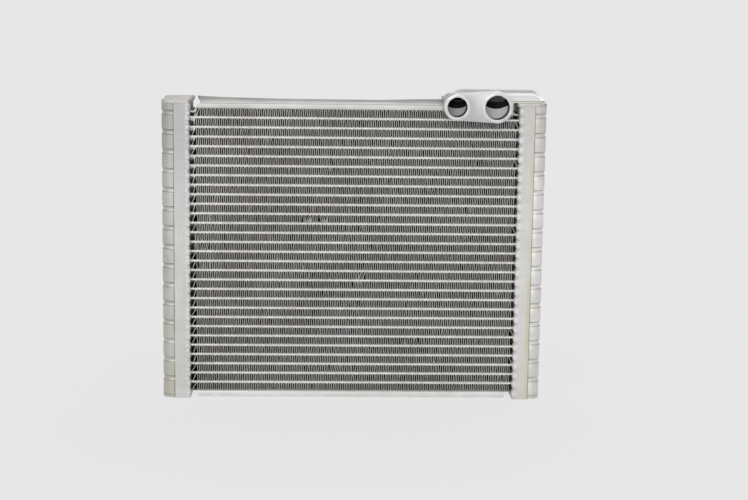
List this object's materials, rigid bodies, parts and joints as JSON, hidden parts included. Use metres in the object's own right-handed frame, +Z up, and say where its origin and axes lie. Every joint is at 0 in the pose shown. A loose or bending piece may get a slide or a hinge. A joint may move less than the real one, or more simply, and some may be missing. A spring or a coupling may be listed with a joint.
{
  "type": "evaporator core",
  "caption": "Brazed aluminium evaporator core with flat tubes, corrugated fins, two upright ribbed tanks and a port block with a stamped manifold at one top corner.",
  "frame": {"origin": "bottom centre of the whole part, level with the feet of both tanks", "axes": "+X from the left tank to the right tank, which carries the manifold; -Y is the face with the ports; +Z up along the tanks"},
  "size_m": [0.2988, 0.058, 0.245],
  "materials": {
    "core": "bare brazed aluminium, satin",
    "header_plate": "bare brazed aluminium sheet, dull satin",
    "tank_cover": "bare brazed aluminium sheet, dull satin with a faint yellow bloom",
    "end_cap": "bare brazed aluminium, dull, slightly yellowed",
    "inner_plate": "bare aluminium sheet",
    "side_plate": "bare brazed aluminium sheet, dull satin",
    "port_block": "machined aluminium, fine satin",
    "manifold": "stamped aluminium sheet, soft satin"
  },
  "bodies": {
    "root": {"finned_tube_01": "core", "finned_tube_02": "core", "finned_tube_03": "core", "finned_tube_04": "core", "finned_tube_05": "core", "finned_tube_06": "core", "finned_tube_07": "core", "finned_tube_08": "core", "finned_tube_09": "core", "finned_tube_10": "core", "finned_tube_11": "core", "finned_tube_12": "core", "finned_tube_13": "core", "finned_tube_14": "core", "finned_tube_15": "core", "finned_tube_16": "core", "finned_tube_17": "core", "finned_tube_18": "core", "finned_tube_19": "core", "finned_tube_20": "core", "finned_tube_21": "core", "finned_tube_22": "core", "finned_tube_23": "core", "finned_tube_24": "core", "finned_tube_25": "core", "finned_tube_26": "core", "finned_tube_27": "core", "finned_tube_28": "core", "finned_tube_29": "core", "bottom_fin": "core", "header_plate_left": "header_plate", "header_plate_right": "header_plate", "tank_cover_left": "tank_cover", "tank_cover_right": "tank_cover", "foot_cap_left": "end_cap", "foot_cap_right": "end_cap", "head_cap_left": "end_cap", "head_cap_right": "end_cap", "divider_left": "inner_plate", "divider_right": "inner_plate", "baffle_front": "inner_plate", "baffle_rear": "inner_plate", "side_plate_top": "side_plate", "side_plate_bottom": "side_plate", "port_block": "port_block", "manifold_lower_shell": "manifold", "manifold_upper_shell": "manifold"}
  },
  "joints": []
}
